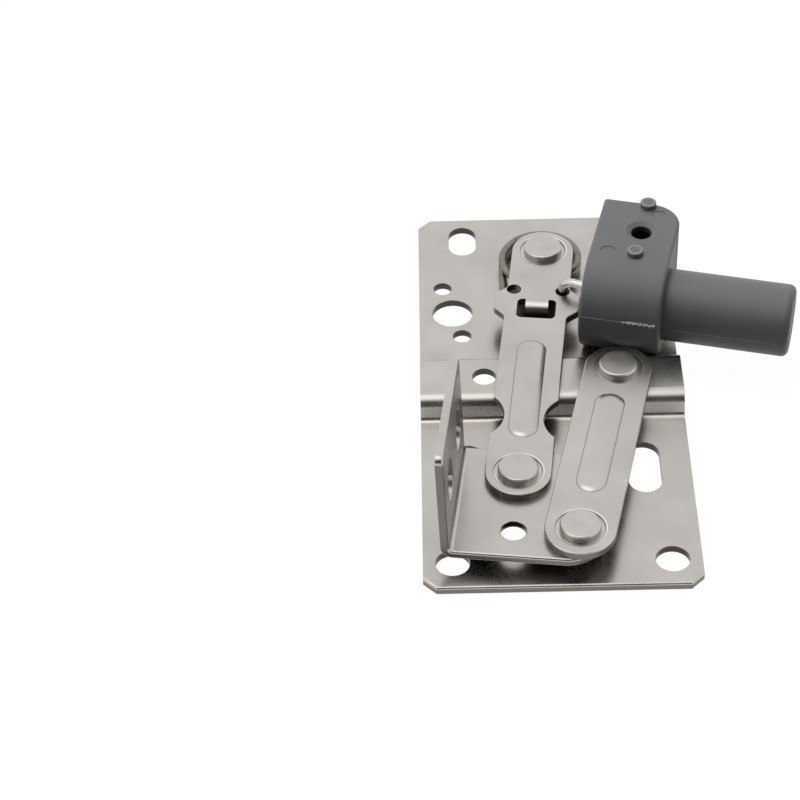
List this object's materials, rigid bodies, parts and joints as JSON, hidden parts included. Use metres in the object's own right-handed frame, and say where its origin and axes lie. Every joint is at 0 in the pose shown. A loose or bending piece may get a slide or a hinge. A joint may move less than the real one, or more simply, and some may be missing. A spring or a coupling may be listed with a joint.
{
  "type": "drop-down flap hinge",
  "caption": "Right-hand hinge for a drop-down cabinet flap: a base plate, two pivoting arms that carry an angled flap bracket, and a sprung, damped inner arm.",
  "frame": {"origin": "middle of the base plate on its mounting face", "axes": "+Z away from the cabinet side, +Y up the cabinet side along the plate, +X into the cabinet; the flap opens towards -X"},
  "size_m": [0.0763, 0.11, 0.0295],
  "materials": {
    "plated_steel": "pressed sheet steel with satin nickel plating",
    "rivet_steel": "turned steel with satin nickel plating",
    "spring_steel": "drawn spring wire, plated",
    "hook_steel": "bright drawn wire",
    "grey_housing": "moulded acetal in mid grey, satin",
    "grey_plug": "moulded acetal in mid grey, satin",
    "cylinder_aluminium": "drawn tube",
    "guide_plastic": "moulded acetal, natural white",
    "seal_rubber": "black nitrile",
    "rod_steel": "ground and polished"
  },
  "bodies": {
    "base": {"base_plate": "plated_steel", "outer_arm_rivet": "rivet_steel", "inner_arm_rivet": "rivet_steel", "spacer_bush": "rivet_steel", "torsion_spring": "spring_steel", "damper_housing": "grey_housing", "housing_plug": "grey_plug", "damper_cylinder": "cylinder_aluminium", "rod_guide": "guide_plastic", "rod_seal": "seal_rubber"},
    "outer_arm": {"outer_arm": "plated_steel"},
    "bracket": {"flap_bracket": "plated_steel", "bracket_rivet": "rivet_steel", "link_rivet_tail": "rivet_steel"},
    "inner_arm": {"inner_arm": "plated_steel", "link_rivet_head": "rivet_steel"},
    "hook": {"hook_wire": "hook_steel"},
    "rod": {"rod_end": "guide_plastic", "piston_rod": "rod_steel", "piston": "guide_plastic", "piston_seal": "seal_rubber"}
  },
  "joints": [
    {"name": "outer_arm_swing", "type": "hinge", "parent": "base", "child": "outer_arm", "pos_m": [0.0134, -0.0014, 0.00695], "axis": [0, 0, -1], "range_deg": [0, 69.23]},
    {"name": "inner_arm_swing", "type": "hinge", "parent": "base", "child": "inner_arm", "pos_m": [0, 0.0361, 0.00695], "axis": [0, 0, -1], "range_deg": [0, 42.91]},
    {"name": "bracket_turn", "type": "hinge", "parent": "outer_arm", "child": "bracket", "pos_m": [0.00333, -0.04608, 0.0053], "axis": [0, 0, 1], "range_deg": [0, 122.94]},
    {"name": "hook_turn", "type": "hinge", "parent": "inner_arm", "child": "hook", "pos_m": [0.0035, 0.02251, 0.00695], "axis": [0, 0, 1], "range_deg": [0, 46.27]},
    {"name": "damper_rod_slide", "type": "slide", "parent": "base", "child": "rod", "axis": [-0.9703, 0.2419, 0], "range_m": [0, 0.01017]}
  ],
  "couplings": [
    {"joint": "inner_arm_swing", "follows": "outer_arm_swing", "ratio": 0.61916},
    {"joint": "bracket_turn", "follows": "outer_arm_swing", "ratio": 1.7744},
    {"joint": "hook_turn", "follows": "outer_arm_swing", "ratio": 0.66762},
    {"joint": "damper_rod_slide", "follows": "outer_arm_swing", "m_per_rad": 0.008398}
  ]
}
